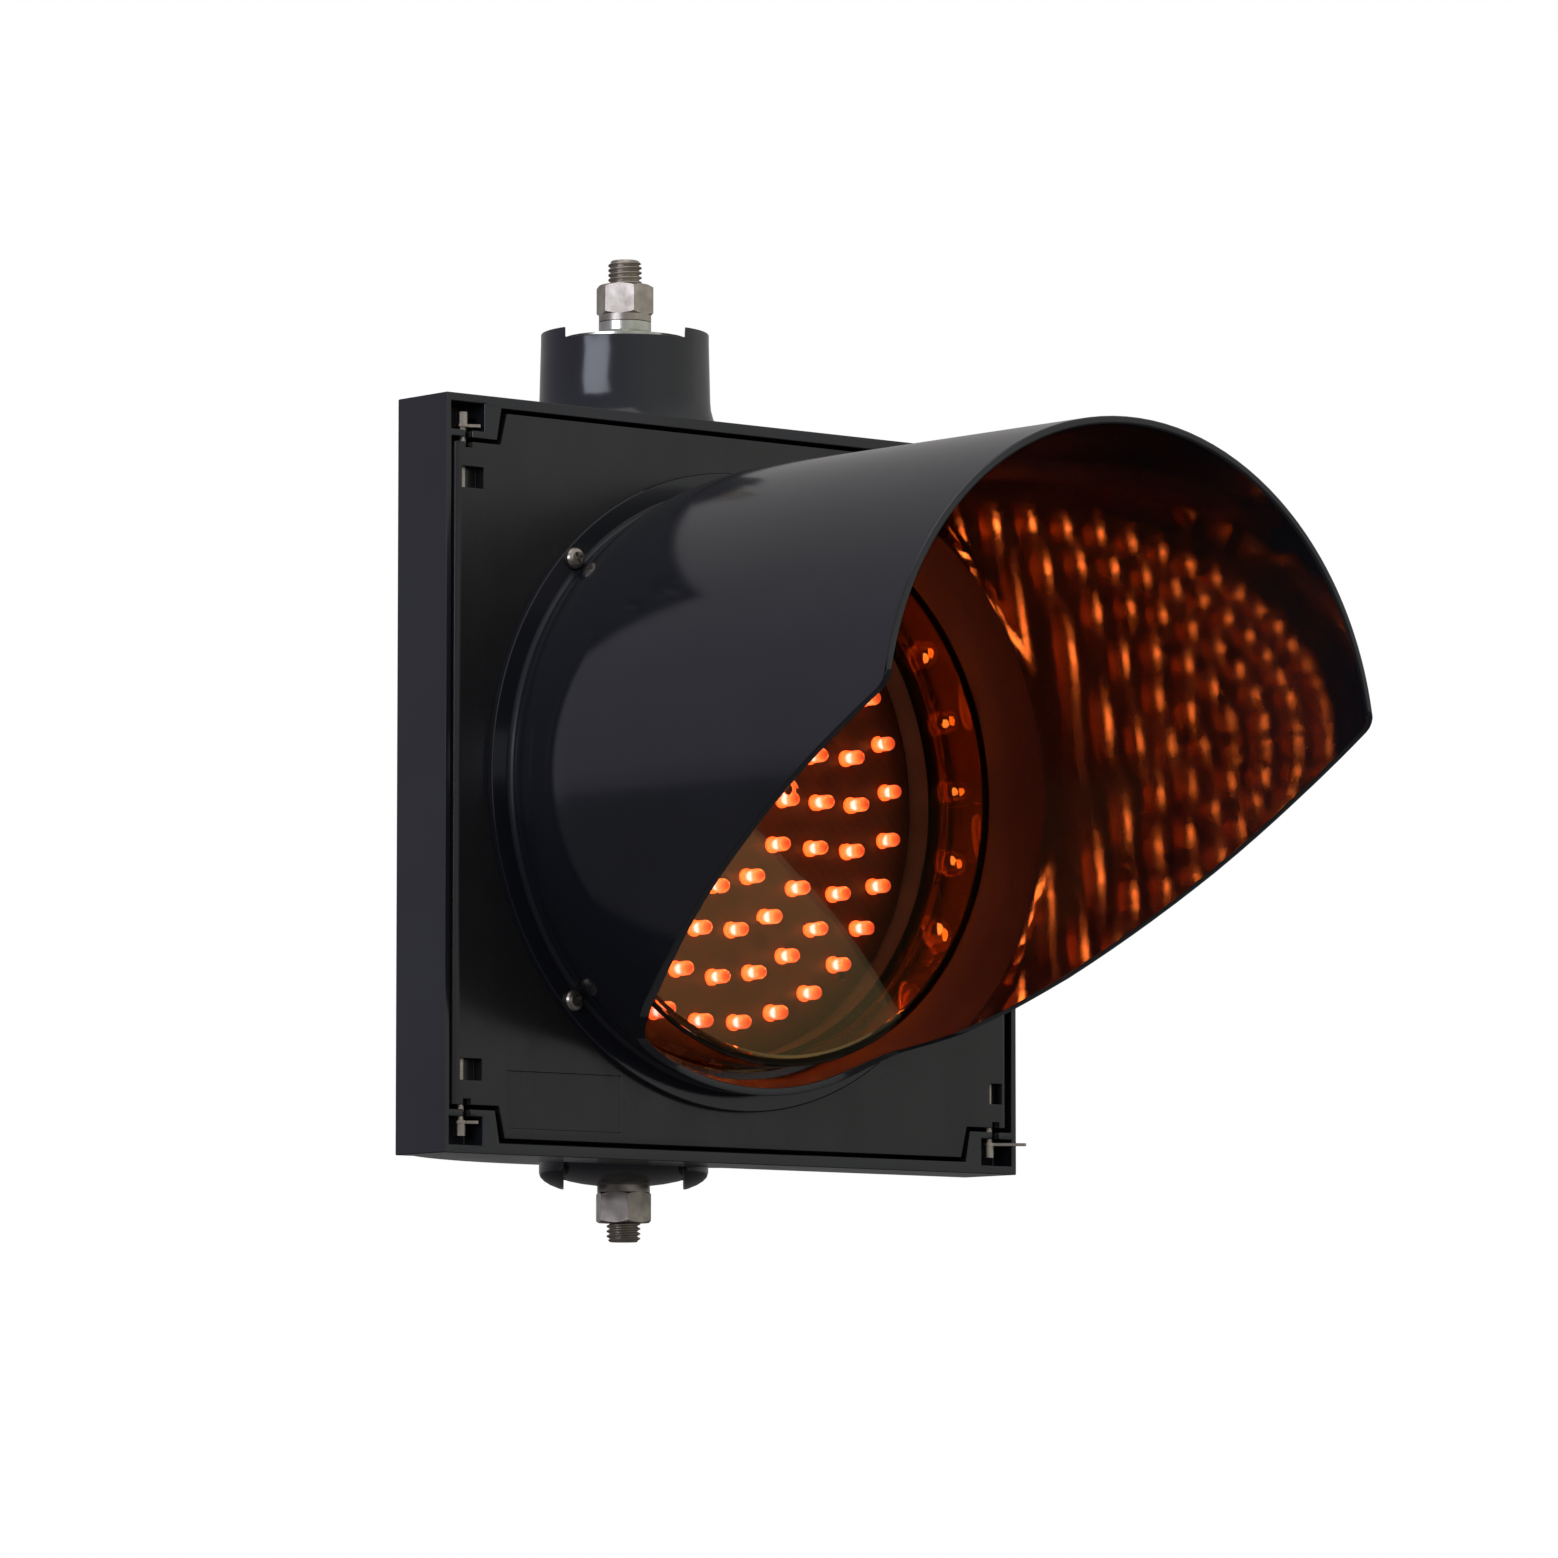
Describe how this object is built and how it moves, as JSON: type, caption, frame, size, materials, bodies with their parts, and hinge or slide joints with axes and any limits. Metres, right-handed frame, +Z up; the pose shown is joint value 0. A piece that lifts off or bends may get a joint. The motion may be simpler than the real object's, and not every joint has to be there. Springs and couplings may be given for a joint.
{
  "type": "traffic signal head",
  "caption": "Single-aspect amber vehicle signal head with a square hinged door, a cutaway tube visor and a vertical mounting stud.",
  "frame": {"origin": "on the axis of the vertical mounting stud, half way up the square housing", "axes": "+Z up along the stud, the lit face looks along -Y, +X is to the right of somebody who looks at the lit face"},
  "size_m": [0.261, 0.367, 0.3502],
  "materials": {
    "housing_plastic": "moulded polycarbonate, satin gloss",
    "door_plastic": "moulded polycarbonate, fine texture",
    "visor_plastic": "moulded polycarbonate, gloss",
    "lens_amber": "clear amber polycarbonate",
    "led_amber": "epoxy LED body",
    "board": "dark solder mask",
    "module_plastic": "moulded plastic",
    "gland_plastic": "moulded nylon",
    "terminal_plastic": "moulded nylon",
    "spacer_plastic": "nylon",
    "seal_rubber": "black rubber",
    "cable_rubber": "smooth cable sheath",
    "coil": "taped coil on a ferrite core",
    "capacitor": "printed-free sleeve",
    "stainless": "stainless steel",
    "zinc_plate": "bright zinc plate with a faint yellow tint",
    "brass": "machined"
  },
  "bodies": {
    "stud": {"mounting_stud": "stainless", "hex_nuts": "stainless", "spring_washers": "stainless", "dished_washer": "zinc_plate", "flat_washer": "zinc_plate"},
    "housing": {"rear_housing": "housing_plastic", "door_gasket": "seal_rubber", "hinge_pin_upper": "stainless", "hinge_pin_lower": "stainless", "terminal_block": "terminal_plastic", "terminal_screws": "brass", "block_screws": "stainless", "cable_gland": "gland_plastic", "supply_cable": "cable_rubber"},
    "door": {"front_door": "door_plastic", "visor": "visor_plastic", "visor_screws": "stainless", "lens": "lens_amber", "lens_gasket": "seal_rubber", "led_board": "board", "leds": "led_amber", "module_cup": "module_plastic", "driver_board": "board", "board_spacers": "spacer_plastic", "driver_transformer": "coil", "driver_capacitors": "capacitor", "module_clips": "module_plastic", "clip_screws": "stainless", "lead_grommet": "seal_rubber", "module_lead": "cable_rubber"},
    "latch_upper": {"latch_pin_upper": "stainless"},
    "latch_lower": {"latch_pin_lower": "stainless"}
  },
  "joints": [
    {"name": "aim_swivel", "type": "hinge", "parent": "stud", "child": "housing", "pos_m": [0, 0, 0], "axis": [0, 0, 1], "range_deg": [-90, 90]},
    {"name": "door_hinge", "type": "hinge", "parent": "housing", "child": "door", "pos_m": [-0.1203, -0.0589, 0], "axis": [0, 0, -1], "range_deg": [0, 105]},
    {"name": "latch_upper_turn", "type": "hinge", "parent": "door", "child": "latch_upper", "pos_m": [0.1203, -0.0589, 0.118], "axis": [0, 0, -1], "range_deg": [0, 90]},
    {"name": "latch_lower_turn", "type": "hinge", "parent": "door", "child": "latch_lower", "pos_m": [0.1203, -0.0589, -0.118], "axis": [0, 0, -1], "range_deg": [0, 90]}
  ]
}
